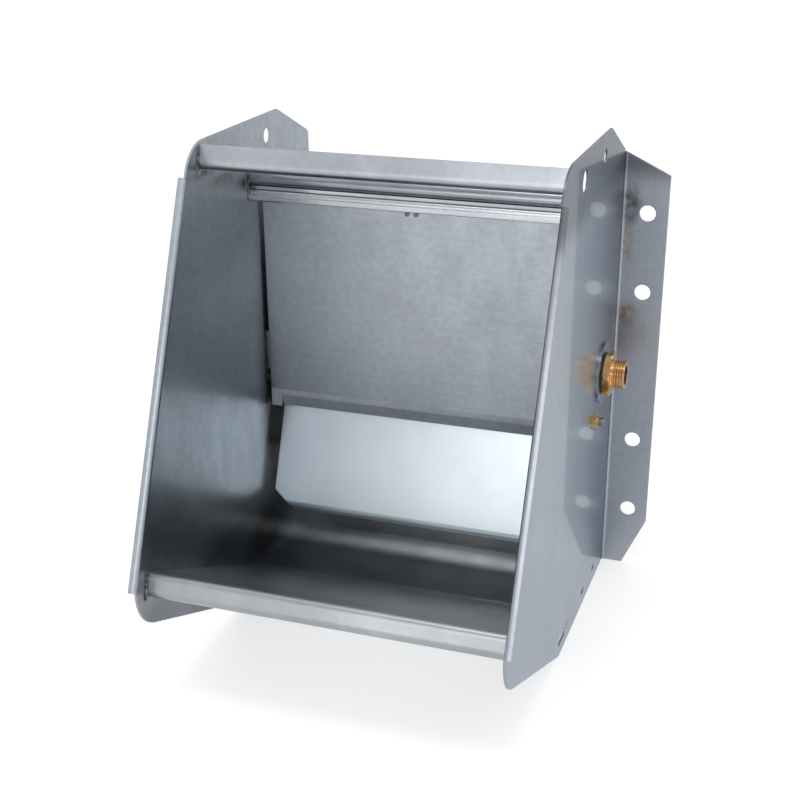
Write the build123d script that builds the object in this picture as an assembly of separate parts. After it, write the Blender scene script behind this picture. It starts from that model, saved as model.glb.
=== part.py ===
from build123d import *
from math import cos, sin, tan, radians
import os

# Frame while modelling: X across the bowl, Y = 0 at the mounting wall and negative
# towards the animal, Z = 0 at the bottom edge of the side walls. Everything is written
# out moved along Y, so that the origin lies under the middle of the whole bowl.

# ---- side walls ----
bowl_width = 249.0            # over the outer faces of the two side walls
wall_sheet = 1.5
wall_height = 360.0           # level top edge of the walls
wall_rear_drop = 27.0         # by which the top edge slopes down to the mounting wall
apex_y = -60.0                # rear end of the level top edge
apex_r = 6.0
mouth_top_y = -197.4          # front edge line, where it reaches the level top edge
front_lean = 23.4             # front edge, degrees from vertical
base_depth = 157.0            # flat bottom edge that the bowl can stand on
top_corner_r = 30.0
toe_corner_r = 32.0

# ---- front lips, folded out of the walls ----
fold_root = 1.0               # flat sheet modelled with each fold, beyond its bend
lip_out = 4.0                 # beyond the outer face
lip_bend_r = 1.5              # inside radius
lip_top_drop = 20.0           # below the walls' top edge
lip_bottom_z = 91.5

# ---- mounting flanges, folded out of the walls ----
flange_width = 33.5           # beyond the outer face
flange_bend_r = 2.0           # inside radius
flange_outer_drop = 16.0      # outer corner below the rear end of the top edge
flange_outer_bottom_z = 39.0
flange_foot_width = 16.0
flange_hole_d = 12.0
flange_hole_out = 18.5        # beyond the outer face
flange_hole_mid_z = 168.5
flange_hole_inner_pitch = 120.0
flange_hole_outer_pitch = 240.0

# ---- holes in the walls ----
ear_hole_d = 11.0
ear_hole_y = -79.0
ear_hole_drop = 16.0          # below the walls' top edge
rope_hole_d = 16.0
rope_hole_y = -142.5
rope_hole_drop = 19.0         # below the walls' top edge
# slots along the foot of each wall: distance from the mounting wall, height, length, width
foot_slots = (
    (40.4, 12.2, 9.0, 4.0),
    (78.7, 11.5, 10.0, 5.0),
    (148.6, 11.5, 22.0, 6.0),
)
foot_dot_d = 4.0
foot_dot_y = -134.0
foot_dot_z = 14.5

# ---- trough, one folded sheet between the walls ----
trough_sheet = 1.5
trough_back_inset = 3.0       # rear face off the mounting wall
trough_back_drop = 68.0       # below the walls' top edge
trough_back_foot_z = 67.6
trough_back_bend_r = 12.0
trough_floor_z = 16.0         # water side
trough_floor_rear_y = -71.7
trough_floor_rear_r = 40.0
trough_floor_front_y = -125.0
trough_floor_front_r = 18.0
rim_top_y = -296.5
rim_top_z = 100.0
rim_top_r = 3.0               # inside radius
rim_nose_y = -302.0
rim_nose_z = 79.5
rim_nose_r = 4.5              # inside radius
rim_lip_length = 15.0
rim_lip_rise = 1.5

# ---- top front bar, a folded strip ----
bar_sheet = 2.0
bar_top_behind = 12.7         # behind the upper end of the inclined edge
bar_top_drop = 2.0            # below the walls' top edge
bar_nose_ahead = 5.9          # ahead of the bar's top edge
bar_face_height = 18.5
bar_nose_r = 3.5              # inside radius
bar_lip_length = 16.0
bar_lip_rise = 3.0

# ---- cross tube behind the front bar ----
tube_d = 12.0
tube_wall = 1.5
tube_y = -108.0
tube_drop = 40.0              # below the walls' top edge

# ---- head rail over the valve cover, a folded channel ----
rail_sheet = 1.5
rail_front_y = -114.5         # outer face of the front lip
rail_top_drop = 47.4          # below the walls' top edge
rail_lip_height = 7.4
rail_hem_height = 4.0         # doubled lower half of the lip
rail_hem_sheet = 1.0
rail_depth = 32.5
rail_rear_drop = 10.0
rail_bend_r = 1.0             # inside radius

# ---- valve cover ----
cover_sheet = 1.5
cover_front_y = -96.0
cover_side_gap = 2.0          # to the inner face of each wall
cover_shoulder_drop = 12.6    # below the head rail's top
cover_bottom_drop = 9.5       # below the push plate's hinge axis
cover_hem_height = 9.5
cover_hem_inset = 8.0
cover_hem_lean = 22.0         # degrees, turned back under the cover
cover_hem_r = 1.5             # inside radius

# ---- hinge of the valve cover ----
cover_rod_d = 5.0
cover_rod_drop = 6.4          # below the head rail's top
cover_hinge_fit = 0.06        # radial running clearance
cover_curl_inset = 15.0       # from each side of the cover
cover_curl_slit = 1.2
cover_leaf_window = 18.0      # gap in the curl where the friction leaf bears on the rod
cover_lug_sheet = 3.0
cover_lug_gap = 3.0           # beside each end of the curl
cover_lug_r = 5.3
cover_rod_past_lug = 1.5
cover_rod_lug_fit = 0.05      # radial

# ---- friction leaf that holds the raised cover ----
leaf_x = -7.0
leaf_sheet = 0.8
leaf_width = 14.0
leaf_tail = 8.5               # below the rivets
leaf_rod_gap = 0.1
leaf_knee_gap = 0.6           # between knee and rod
rivet_pitch = 6.5
rivet_drop = 7.2              # below the cover's rod
rivet_d = 2.4
rivet_head_d = 3.6
rivet_head_t = 0.8

# ---- stops behind the cover ----
stop_sheet = 1.5
stop_width = 8.0
stop_height = 30.0
stop_z = 170.0
stop_gap = 0.3

# ---- push plate ----
plate_sheet = 2.0
plate_side_gap = 6.0          # to the inner face of each wall
plate_lean = 21.7             # degrees, foot towards the animal
plate_face_offset = 2.9       # front face ahead of the hinge axis
plate_length = 100.0          # hinge axis to the corner of the turned edge
plate_edge_r = 4.0            # inside radius of the turned lower edge
plate_edge_turn = 115.0       # degrees
plate_edge_lip = 13.0
plate_corner_across = 20.5    # bevel of the lower corners
plate_corner_along = 17.0

# ---- hinge of the push plate ----
hinge_y = -73.4
hinge_z = 150.5
hinge_rod_d = 6.0
hinge_fit = 0.08              # radial running clearance
sleeve_d = 12.5
bush_d = 12.0
bush_gap = 0.3                # end play beside each bush
bush_fit = 0.05               # radial
wall_hole_fit = 0.2           # radial, round a rod or thread that passes through a wall
hinge_nut_af = 10.0
hinge_nut_t = 3.2
hinge_collar_d = 8.0
hinge_collar_t = 1.3
hinge_rod_out = 3.5           # beyond the collar

# ---- lever between push plate and valve stem ----
lever_width = 16.0
lever_sheet = 4.0
lever_reach = 34.0            # behind the hinge axis
lever_drop = 7.0              # underside below the hinge axis
screw_d = 6.0
screw_head_af = 10.0
screw_head_t = 4.0
screw_tip_r = 3.0
screw_tip_below = 2.0         # tip under the outlet nozzle
locknut_af = 10.0
locknut_t = 3.2
thread_fit = 0.05             # radial, modelled threads without flanks
stem_play = 0.4               # between screw and stem

# ---- inlet ----
inlet_y = -50.0
inlet_z = 180.0
inlet_thread_d = 20.955       # G 1/2 pipe thread
inlet_thread_pitch = 1.814
inlet_thread_depth = 1.0
inlet_thread_crest = 0.9
inlet_thread_rings = 4
inlet_pitch_d = 19.793        # where the backnut is engaged
inlet_engaged_past_nut = 1.0  # pitch diameter continues beyond the backnut
inlet_thread_out = 18.0       # beyond the wall's outer face
inlet_bore_d = 14.5
backnut_af = 30.0
backnut_t = 5.0
backnut_corner_d = 34.9       # turned size over the corners
backnut_chamfer = 1.2
backnut_turn = 24.0           # degrees, as tightened
washer_d = 45.0
washer_t = 2.0
outer_seal_d = 30.0           # rubber ring under the backnut
outer_seal_t = 1.5
gasket_d = 34.0
gasket_t = 2.0
shoulder_d = 32.0
shoulder_t = 4.0
inlet_pipe_d = 24.0
strainer_d = 14.0
strainer_wall = 0.8
strainer_length = 22.0
strainer_recess = 3.0
strainer_slot = 1.6
strainer_slot_length = 11.0
strainer_slots = 4

# ---- valve chamber, upright at the end of the inlet ----
valve_x = 68.0
chamber_d = 34.0
chamber_bore_d = 24.0
chamber_top_z = 204.0
chamber_bottom_z = 164.0
chamber_floor_t = 6.0
seat_bore_d = 12.0
seat_ring_d = 18.0
seat_ring_t = 4.0
cap_af = 30.0
cap_t = 7.0
cap_plug_t = 7.0
cap_fit = 0.1                 # radial
cap_seal_t = 1.5
cap_pocket_d = 17.0
cap_pocket_depth = 5.0
nozzle_d = 26.0
nozzle_bore_d = 18.0
nozzle_t = 7.0

# ---- moving part of the valve ----
stem_d = 5.0
stem_above_disc = 9.0
disc_d = 17.0
disc_t = 3.0
seal_t = 2.0
guide_hub_d = 8.4
guide_t = 4.5
guide_web = 2.2
guide_webs = 3
stem_fit = 0.08               # radial running clearance
spring_wire_d = 1.1
spring_mean_d = 12.0
spring_turns = 5

wall_rear_height = wall_height - wall_rear_drop
lip_top_z = wall_height - lip_top_drop
flange_outer_top_z = wall_rear_height - flange_outer_drop
ear_hole_z = wall_height - ear_hole_drop
rope_hole_z = wall_height - rope_hole_drop
trough_back_top_z = wall_height - trough_back_drop
bar_top_y = mouth_top_y + bar_top_behind
bar_top_z = wall_height - bar_top_drop
bar_nose_y = bar_top_y - bar_nose_ahead
bar_nose_z = bar_top_z - bar_face_height
tube_z = wall_height - tube_drop
rail_top_z = wall_height - rail_top_drop
cover_rod_z = rail_top_z - cover_rod_drop
cover_shoulder_z = rail_top_z - cover_shoulder_drop
cover_bottom_z = hinge_z - cover_bottom_drop
rivet_z = cover_rod_z - rivet_drop
leaf_foot_z = rivet_z - leaf_tail

half_width = bowl_width / 2
backnut_x = half_width + washer_t + outer_seal_t
inner_x = half_width - wall_sheet
lean_tan = tan(radians(front_lean))
lean_sin = sin(radians(plate_lean))
lean_cos = cos(radians(plate_lean))
cover_curl_r = cover_rod_d / 2 + cover_hinge_fit + cover_sheet
cover_rod_y = cover_front_y + cover_curl_r
cover_half_width = inner_x - cover_side_gap
cover_curl_half = cover_half_width - cover_curl_inset
cover_lug_x = cover_curl_half + cover_lug_gap
plate_half_width = inner_x - plate_side_gap
screw_tip_z = chamber_bottom_z - nozzle_t - screw_tip_below
seat_z = chamber_bottom_z + chamber_floor_t + seat_ring_t
clear_of_all = 2 * bowl_width


def closed_face(points, radii):
    """Flat face inside an outline, with a fillet radius at each corner."""
    return Face(Wire(FilletPolyline(*points, radius=radii, close=True).edges()))


def prism_x(points, radii, x0, x1):
    """Prism along X over an outline in Y and Z."""
    return extrude(Plane.YZ.offset(x0) * closed_face(points, radii), amount=x1 - x0, dir=(1, 0, 0))


def sheet_section(points, inside_radii, sheet):
    """Section of a bent sheet. Points follow one face; the sheet lies to their left, or
    to their right if it is negative."""
    corners = [Vector(*p) for p in points]
    legs = [(b - a).normalized() for a, b in zip(corners, corners[1:])]
    normals = [Vector(-leg.Y, leg.X) for leg in legs]
    far = [corners[0] + normals[0] * sheet]
    near_radii = [0]
    far_radii = [0]
    for corner, leg, onward, r in zip(corners[1:-1], legs, legs[1:], inside_radii):
        first = Vector(-leg.Y, leg.X)
        second = Vector(-onward.Y, onward.X)
        far.append(corner + (first + second) * (sheet / (1 + first.dot(second))))
        sheet_inside = leg.cross(onward).Z * sheet > 0
        near_radii.append(r + abs(sheet) if sheet_inside else r)
        far_radii.append(r if sheet_inside else r + abs(sheet))
    far.append(corners[-1] + normals[-1] * sheet)
    near_radii.append(0)
    far_radii.append(0)
    outline = [(p.X, p.Y) for p in corners + far[::-1]]
    return closed_face(outline, near_radii + far_radii[::-1])


def sheet_x(points, inside_radii, sheet, x0, x1):
    """Bent sheet running along X."""
    section = sheet_section(points, inside_radii, sheet)
    return extrude(Plane.YZ.offset(x0) * section, amount=x1 - x0, dir=(1, 0, 0))


def rod_x(diameter, x0, x1, y, z):
    """Round bar along X."""
    return Plane.YZ.offset(x0) * Pos(y, z) * extrude(Circle(diameter / 2), amount=x1 - x0)


def ring_x(outer_d, inner_d, x0, x1, y, z):
    """Flat ring along X."""
    return rod_x(outer_d, x0, x1, y, z) - rod_x(inner_d, x0, x1, y, z)


def hex_x(across_flats, x0, x1, y, z, turn=0):
    """Hexagonal bar along X, turned by so many degrees from one corner up and down."""
    hexagon = RegularPolygon(across_flats / 2, 6, major_radius=False, rotation=30 + turn)
    return Plane.YZ.offset(x0) * Pos(y, z) * extrude(hexagon, amount=x1 - x0)


def rod_z(diameter, z0, z1, x, y):
    """Round bar along Z."""
    return Pos(x, y, z0) * extrude(Circle(diameter / 2), amount=z1 - z0)


def ring_z(outer_d, inner_d, z0, z1, x, y):
    """Flat ring along Z."""
    return rod_z(outer_d, z0, z1, x, y) - rod_z(inner_d, z0, z1, x, y)


def hex_z(across_flats, z0, z1, x, y):
    """Hexagonal bar along Z."""
    hexagon = RegularPolygon(across_flats / 2, 6, major_radius=False)
    return Pos(x, y, z0) * extrude(hexagon, amount=z1 - z0)


def front_line_y(z):
    """Y of the inclined front edge at a height."""
    return mouth_top_y - (wall_height - z) * lean_tan


def wall_plate():
    """Flat plate of the right side wall before its folds."""
    toe_z = (wall_height * lean_tan - mouth_top_y - base_depth) * lean_tan / (1 + lean_tan**2)
    points = [
        (0, 0),
        (-base_depth, 0),
        (front_line_y(toe_z), toe_z),
        (mouth_top_y, wall_height),
        (apex_y, wall_height),
        (0, wall_rear_height),
    ]
    return prism_x(points, [0, 0, toe_corner_r, top_corner_r, apex_r, 0], inner_x, half_width)


def front_lip():
    """Narrow lip along the inclined front edge, and the strip of plate that it replaces."""
    outer_r = lip_bend_r + wall_sheet
    root = outer_r + fold_root
    top = Vector(0, front_line_y(lip_top_z), lip_top_z)
    bottom = Vector(0, front_line_y(lip_bottom_z), lip_bottom_z)
    along = Plane(origin=bottom, x_dir=(1, 0, 0), z_dir=(top - bottom).normalized())
    length = (top - bottom).length
    section = sheet_section(
        [(half_width + lip_out, 0), (inner_x, 0), (inner_x, root)], [lip_bend_r], -wall_sheet
    )
    trim = Box(clear_of_all, 2 * root, length, align=(Align.CENTER, Align.CENTER, Align.MIN))
    return along * extrude(section, amount=length, dir=(0, 0, 1)), along * trim


def mounting_flange():
    """Flange in the mounting plane, with its bend, sloped ends and four holes."""
    root = flange_bend_r + wall_sheet + fold_root
    edge_x = half_width + flange_width
    section = sheet_section([(inner_x, -root), (inner_x, 0), (edge_x, 0)], [flange_bend_r], -wall_sheet)
    strip = extrude(section, amount=wall_rear_height, dir=(0, 0, 1))
    outline = [
        (0, 0),
        (half_width + flange_foot_width, 0),
        (edge_x, flange_outer_bottom_z),
        (edge_x, flange_outer_top_z),
        (half_width, wall_rear_height),
        (0, wall_rear_height),
    ]
    keep = extrude(Plane.XZ * closed_face(outline, [0] * 6), amount=root, both=True)
    strip = strip & keep
    hole_x = half_width + flange_hole_out
    for pitch in (flange_hole_inner_pitch, flange_hole_outer_pitch):
        for z in (flange_hole_mid_z - pitch / 2, flange_hole_mid_z + pitch / 2):
            strip = strip - Pos(hole_x, 0, z) * Rot(90, 0, 0) * Cylinder(flange_hole_d / 2, root)
    trim = Box(clear_of_all, 2 * root, 2 * wall_height)
    return strip, trim


def foot_openings():
    """Slots and the round hole along the foot of a wall."""
    holes = rod_x(foot_dot_d, 0, clear_of_all, foot_dot_y, foot_dot_z)
    for distance, z, length, width in foot_slots:
        slot = extrude(Plane.YZ * Pos(-distance, z) * SlotOverall(length, width), amount=clear_of_all)
        holes = holes + slot
    return holes


def folded_wall():
    """Right side wall as folded, with the holes that both walls have."""
    lip, lip_trim = front_lip()
    flange, flange_trim = mounting_flange()
    wall = wall_plate() - lip_trim - flange_trim + lip + flange
    wall = wall - foot_openings()
    wall = wall - rod_x(ear_hole_d, 0, clear_of_all, ear_hole_y, ear_hole_z)
    wall = wall - rod_x(rope_hole_d, 0, clear_of_all, rope_hole_y, rope_hole_z)
    return wall - rod_x(hinge_rod_d + 2 * wall_hole_fit, 0, clear_of_all, hinge_y, hinge_z)


def right_side_wall():
    """Right wall, with the hole for the water inlet."""
    return folded_wall() - rod_x(inlet_thread_d + 2 * wall_hole_fit, 0, clear_of_all, inlet_y, inlet_z)


def left_side_wall():
    """Left wall, the mirror image of the right one but without the inlet hole."""
    return mirror(folded_wall(), about=Plane.YZ)


def trough():
    """Trough sheet: back panel, rear slope, floor, front slope and rounded front rim."""
    back_y = -trough_back_inset - trough_sheet
    points = [
        (back_y, trough_back_top_z),
        (back_y, trough_back_foot_z),
        (trough_floor_rear_y, trough_floor_z),
        (trough_floor_front_y, trough_floor_z),
        (rim_top_y, rim_top_z),
        (rim_nose_y, rim_nose_z),
        (rim_nose_y + rim_lip_length, rim_nose_z + rim_lip_rise),
    ]
    radii = [trough_back_bend_r, trough_floor_rear_r, trough_floor_front_r, rim_top_r, rim_nose_r]
    return sheet_x(points, radii, trough_sheet, -inner_x, inner_x)


def top_front_bar():
    """Bar across the top of the mouth, its lower edge rounded and turned inwards."""
    points = [
        (bar_top_y, bar_top_z),
        (bar_nose_y, bar_nose_z),
        (bar_nose_y + bar_lip_length, bar_nose_z + bar_lip_rise),
    ]
    return sheet_x(points, [bar_nose_r], bar_sheet, -inner_x, inner_x)


def cross_tube():
    """Tube between the walls, above the head rail."""
    return ring_x(tube_d, tube_d - 2 * tube_wall, -inner_x, inner_x, tube_y, tube_z)


def cover_head_rail():
    """Channel over the cover, with a doubled front lip."""
    rear_y = rail_front_y + rail_depth
    lip_foot_z = rail_top_z - rail_lip_height
    points = [
        (rail_front_y, lip_foot_z),
        (rail_front_y, rail_top_z),
        (rear_y, rail_top_z),
        (rear_y, rail_top_z - rail_rear_drop),
    ]
    channel = sheet_x(points, [rail_bend_r, rail_bend_r], -rail_sheet, -inner_x, inner_x)
    hem = [
        (rail_front_y, lip_foot_z),
        (rail_front_y - rail_hem_sheet, lip_foot_z),
        (rail_front_y - rail_hem_sheet, lip_foot_z + rail_hem_height),
        (rail_front_y, lip_foot_z + rail_hem_height),
    ]
    return channel + prism_x(hem, [0, rail_hem_sheet / 2, rail_hem_sheet / 2, 0], -inner_x, inner_x)


def cover_hinge_lugs():
    """Two lugs under the head rail that hold the cover's rod."""
    top_z = rail_top_z - rail_sheet
    above = Box(clear_of_all, clear_of_all, clear_of_all, align=(Align.CENTER, Align.CENTER, Align.MIN))
    lugs = []
    for x0 in (cover_lug_x, -cover_lug_x - cover_lug_sheet):
        x1 = x0 + cover_lug_sheet
        lug = rod_x(2 * cover_lug_r, x0, x1, cover_rod_y, cover_rod_z)
        lug = lug + prism_x(
            [
                (cover_rod_y - cover_lug_r, cover_rod_z),
                (cover_rod_y - cover_lug_r, top_z),
                (cover_rod_y + cover_lug_r, top_z),
                (cover_rod_y + cover_lug_r, cover_rod_z),
            ],
            [0] * 4,
            x0,
            x1,
        )
        lug = lug - Pos(0, cover_rod_y, top_z) * above
        lugs.append(lug - rod_x(cover_rod_d + 2 * cover_rod_lug_fit, x0, x1, cover_rod_y, cover_rod_z))
    return Compound(children=lugs)


def cover_hinge_rod():
    """Rod that the cover hangs on."""
    end = cover_lug_x + cover_lug_sheet + cover_rod_past_lug
    return rod_x(cover_rod_d, -end, end, cover_rod_y, cover_rod_z)


def valve_cover():
    """Cover sheet, curled round its rod at the top and hemmed at the foot."""
    hem_z = cover_bottom_z + cover_hem_height
    hem_back = cover_hem_height * tan(radians(cover_hem_lean))
    hem_half = cover_half_width - cover_hem_inset
    edge_height = cover_shoulder_z - cover_bottom_z
    face = [
        (cover_front_y, cover_shoulder_z),
        (cover_front_y, hem_z),
        (cover_front_y + hem_back, cover_bottom_z),
    ]
    sheet = sheet_x(face, [cover_hem_r], cover_sheet, -hem_half, hem_half)
    for x0, x1 in ((-cover_half_width, -hem_half), (hem_half, cover_half_width)):
        edge = Box(x1 - x0, cover_sheet, edge_height, align=(Align.MIN,) * 3)
        sheet = sheet + Pos(x0, cover_front_y, cover_bottom_z) * edge
    neck_height = cover_rod_z - cover_shoulder_z
    neck = Box(2 * cover_curl_half, cover_sheet, neck_height, align=(Align.CENTER, Align.MIN, Align.MIN))
    curl = rod_x(2 * cover_curl_r, -cover_curl_half, cover_curl_half, cover_rod_y, cover_rod_z)
    cover = sheet + Pos(0, cover_front_y, cover_shoulder_z) * neck + curl
    bore_d = cover_rod_d + 2 * cover_hinge_fit
    cover = cover - rod_x(bore_d, -cover_curl_half, cover_curl_half, cover_rod_y, cover_rod_z)
    slit_size = (2 * cover_curl_half, cover_curl_slit, cover_curl_r)
    slit = Box(*slit_size, align=(Align.CENTER, Align.CENTER, Align.MAX))
    cover = cover - Pos(0, cover_rod_y, cover_rod_z) * slit
    window_size = (cover_leaf_window, 2 * cover_curl_r, 2 * cover_curl_r)
    window = Box(*window_size, align=(Align.CENTER, Align.MIN, Align.CENTER))
    cover = cover - Pos(leaf_x, cover_front_y + cover_sheet, cover_rod_z) * window
    for x in rivet_places():
        hole = Rot(90, 0, 0) * Cylinder(rivet_d / 2, clear_of_all)
        cover = cover - Pos(x, cover_front_y, rivet_z) * hole
    return cover


def rivet_places():
    """X of the two rivets of the friction leaf."""
    return (leaf_x - rivet_pitch / 2, leaf_x + rivet_pitch / 2)


def cover_friction_leaf():
    """Spring leaf behind the cover, its upper end bearing on the rod."""
    back_y = cover_front_y + cover_sheet
    tip_y = cover_rod_y + cover_rod_d / 2 + leaf_rod_gap
    knee_z = cover_rod_z - cover_rod_d / 2 - leaf_knee_gap
    points = [
        (back_y, leaf_foot_z),
        (back_y, knee_z),
        (tip_y, knee_z),
        (tip_y, cover_rod_z + cover_rod_d / 2),
    ]
    sides = (leaf_x - leaf_width / 2, leaf_x + leaf_width / 2)
    leaf = sheet_x(points, [leaf_sheet] * 2, -leaf_sheet, *sides)
    for x in rivet_places():
        leaf = leaf - Pos(x, back_y, rivet_z) * Rot(90, 0, 0) * Cylinder(rivet_d / 2, clear_of_all)
    return leaf


def cover_rivets():
    """Two rivets through the cover and the leaf."""
    back_y = cover_front_y + cover_sheet + leaf_sheet
    rivets = []
    for x in rivet_places():
        at = Plane(origin=(x, back_y, rivet_z), x_dir=(1, 0, 0), z_dir=(0, -1, 0))
        grip = cover_sheet + leaf_sheet
        shank = extrude(at * Circle(rivet_d / 2), amount=grip)
        tail = extrude(at * Circle(rivet_head_d / 2), amount=-rivet_head_t)
        head = extrude(at.offset(grip) * Circle(rivet_head_d / 2), amount=rivet_head_t)
        rivets.append(shank + tail + head)
    return Compound(children=rivets)


def cover_stops():
    """Two tabs on the walls that the closed cover rests against."""
    front_y = cover_front_y + cover_sheet + stop_gap
    size = (stop_width, stop_sheet, stop_height)
    right = Pos(inner_x, front_y, stop_z) * Box(*size, align=(Align.MAX, Align.MIN, Align.MIN))
    return Compound(children=[right, mirror(right, about=Plane.YZ)])


def plate_point(along, ahead):
    """Y and Z of a place on the push plate, from the hinge axis down its length and ahead of it."""
    y = hinge_y - along * lean_sin - ahead * lean_cos
    z = hinge_z - along * lean_cos + ahead * lean_sin
    return (y, z)


def push_plate():
    """Plate that the animal pushes, with bevelled lower corners and a turned lower edge."""
    turn = radians(plate_edge_turn)
    lip_end = plate_point(
        plate_length + plate_edge_lip * cos(turn), plate_face_offset - plate_edge_lip * sin(turn)
    )
    head = plate_point(plate_face_offset, plate_face_offset)
    face = [head, plate_point(plate_length, plate_face_offset), lip_end]
    plate = sheet_x(face, [plate_edge_r], plate_sheet, -plate_half_width, plate_half_width)
    plate = plate - rod_x(sleeve_d, -clear_of_all, clear_of_all, hinge_y, hinge_z)
    across = Plane(origin=(0, hinge_y, hinge_z), x_dir=(1, 0, 0), z_dir=(0, -lean_cos, lean_sin))
    slope = plate_corner_along / plate_corner_across
    bevel_x = plate_half_width - plate_corner_across
    beyond = plate_half_width + plate_corner_across
    corner = [
        (bevel_x, -plate_length),
        (beyond, -plate_length + 2 * plate_corner_across * slope),
        (beyond, -clear_of_all),
        (bevel_x, -clear_of_all),
    ]
    cut = extrude(across * closed_face(corner, [0] * 4), amount=plate_length, both=True)
    return plate - cut - mirror(cut, about=Plane.YZ)


def plate_hinge_sleeve():
    """Tube along the top of the push plate, running on the hinge rod."""
    bore_d = hinge_rod_d + 2 * hinge_fit
    return ring_x(sleeve_d, bore_d, -plate_half_width, plate_half_width, hinge_y, hinge_z)


def plate_hinge_rod():
    """Rod through both walls that the push plate swings on."""
    end = half_width + hinge_nut_t + hinge_collar_t + hinge_rod_out
    return rod_x(hinge_rod_d, -end, end, hinge_y, hinge_z)


def hinge_nuts():
    """Collared nuts on the two ends of the hinge rod."""
    collar_x = half_width + hinge_nut_t
    nut = hex_x(hinge_nut_af, half_width, collar_x, hinge_y, hinge_z)
    nut = nut + rod_x(hinge_collar_d, collar_x, collar_x + hinge_collar_t, hinge_y, hinge_z)
    nut = nut - rod_x(hinge_rod_d + 2 * thread_fit, 0, clear_of_all, hinge_y, hinge_z)
    return Compound(children=[nut, mirror(nut, about=Plane.YZ)])


def hinge_bushes():
    """Plain bushes that keep the push plate midway between the walls."""
    start = plate_half_width + bush_gap
    bush = ring_x(bush_d, hinge_rod_d + 2 * bush_fit, start, inner_x, hinge_y, hinge_z)
    return Compound(children=[bush, mirror(bush, about=Plane.YZ)])


def valve_lever():
    """Lever on the sleeve, reaching back under the valve stem."""
    size = (lever_width, lever_reach, lever_sheet)
    bar = Box(*size, align=(Align.CENTER, Align.MIN, Align.MIN))
    lever = Pos(valve_x, hinge_y, hinge_z - lever_drop) * bar
    lever = lever - rod_x(sleeve_d, 0, clear_of_all, hinge_y, hinge_z)
    return lever - rod_z(screw_d + 2 * thread_fit, 0, hinge_z, valve_x, inlet_y)


def lever_screw():
    """Adjusting screw with a rounded tip, from below through the lever."""
    head_top = hinge_z - lever_drop - locknut_t
    head = hex_z(screw_head_af, head_top - screw_head_t, head_top, valve_x, inlet_y)
    shank = rod_z(screw_d, head_top - screw_head_t, screw_tip_z - screw_tip_r, valve_x, inlet_y)
    tip = Pos(valve_x, inlet_y, screw_tip_z - screw_tip_r) * Sphere(screw_tip_r)
    return head + shank + tip


def lever_locknut():
    """Nut that locks the adjusting screw against the lever."""
    top = hinge_z - lever_drop
    nut = hex_z(locknut_af, top - locknut_t, top, valve_x, inlet_y)
    return nut - rod_z(screw_d + 2 * thread_fit, top - locknut_t, top, valve_x, inlet_y)


def thread_grooves(end_x):
    """Rings cut between the crests of the inlet thread, from its free end inwards."""
    flank = (inlet_thread_pitch - inlet_thread_crest) / 2
    outer_r = inlet_thread_d / 2
    rings = []
    for i in range(inlet_thread_rings):
        x = end_x - (i + 1) * inlet_thread_pitch
        points = [(x - flank, outer_r), (x, outer_r - inlet_thread_depth), (x + flank, outer_r)]
        groove = closed_face(points, [0] * 3)
        rings.append(revolve(Plane.XY * groove, axis=Axis.X))
    return Pos(0, inlet_y, inlet_z) * Compound(children=rings)


def valve_body():
    """Inlet stub, shoulder, pipe and upright chamber, cast in one."""
    end_x = half_width + inlet_thread_out
    shoulder_x = inner_x - gasket_t
    free_x = backnut_x + backnut_t + inlet_engaged_past_nut
    body = rod_x(inlet_thread_d, free_x, end_x, inlet_y, inlet_z)
    body = body - thread_grooves(end_x)
    body = body + rod_x(inlet_pitch_d, shoulder_x, free_x, inlet_y, inlet_z)
    body = body + rod_x(shoulder_d, shoulder_x - shoulder_t, shoulder_x, inlet_y, inlet_z)
    body = body + rod_x(inlet_pipe_d, valve_x, shoulder_x - shoulder_t, inlet_y, inlet_z)
    body = body + rod_z(chamber_d, chamber_bottom_z, chamber_top_z, valve_x, inlet_y)
    floor_z = chamber_bottom_z + chamber_floor_t
    body = body - rod_x(inlet_bore_d, valve_x, clear_of_all, inlet_y, inlet_z)
    body = body - rod_z(chamber_bore_d, floor_z, chamber_top_z, valve_x, inlet_y)
    return body - rod_z(seat_bore_d, 0, floor_z, valve_x, inlet_y)


def inlet_backnut():
    """Hexagonal nut that clamps the valve to the wall."""
    end_x = backnut_x + backnut_t
    nut = hex_x(backnut_af, backnut_x, end_x, inlet_y, inlet_z, backnut_turn)
    cone = rod_x(backnut_corner_d, backnut_x, end_x, inlet_y, inlet_z)
    cone = chamfer(cone.edges().filter_by(GeomType.CIRCLE), backnut_chamfer)
    nut = nut & cone
    return nut - rod_x(inlet_pitch_d + 2 * thread_fit, 0, clear_of_all, inlet_y, inlet_z)


def inlet_washer():
    """Large washer against the wall."""
    bore = inlet_thread_d + 2 * wall_hole_fit
    return ring_x(washer_d, bore, half_width, half_width + washer_t, inlet_y, inlet_z)


def inlet_outer_seal():
    """Rubber ring between washer and backnut."""
    bore = inlet_thread_d + 2 * wall_hole_fit
    return ring_x(outer_seal_d, bore, half_width + washer_t, backnut_x, inlet_y, inlet_z)


def inlet_gasket():
    """Rubber gasket between the wall and the valve's shoulder."""
    bore = inlet_thread_d + 2 * wall_hole_fit
    return ring_x(gasket_d, bore, inner_x - gasket_t, inner_x, inlet_y, inlet_z)


def inlet_strainer():
    """Slotted cup that catches dirt inside the inlet."""
    x1 = half_width + inlet_thread_out - strainer_recess
    x0 = x1 - strainer_length
    bore = strainer_d - 2 * strainer_wall
    cup = rod_x(strainer_d, x0, x1, inlet_y, inlet_z)
    cup = cup - rod_x(bore, x0 + strainer_wall, x1, inlet_y, inlet_z)
    for i in range(strainer_slots):
        slot = Box(strainer_slot_length, clear_of_all, strainer_slot)
        cup = cup - Pos((x0 + x1) / 2, inlet_y, inlet_z) * Rot(180 * i / strainer_slots, 0, 0) * slot
    return cup


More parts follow.
